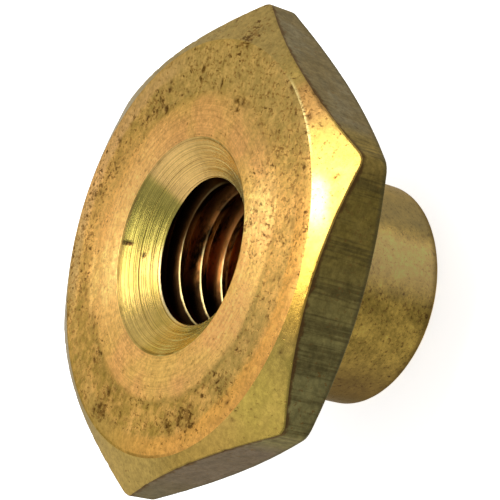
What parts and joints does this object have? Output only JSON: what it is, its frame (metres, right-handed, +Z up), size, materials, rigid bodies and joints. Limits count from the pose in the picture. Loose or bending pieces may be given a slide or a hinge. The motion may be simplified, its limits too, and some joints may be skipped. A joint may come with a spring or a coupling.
{
  "type": "collared hexagon nut",
  "caption": "Hexagon nut with a plain round collar on its back, a wide conical countersink in its chamfered front face, and a threaded bore right through.",
  "frame": {"origin": "on the thread's axis, at the collar's end face, which the nut stands on", "axes": "+Z up the thread's axis to the countersunk front face; two opposite hexagon corners on X; two opposite flats face +Y and -Y"},
  "size_m": [0.0286, 0.025, 0.0136],
  "materials": {
    "brass": "turned and bar-drawn brass, tarnished, with fine dark pits"
  },
  "bodies": {
    "root": {"nut_body": "brass"}
  },
  "joints": []
}
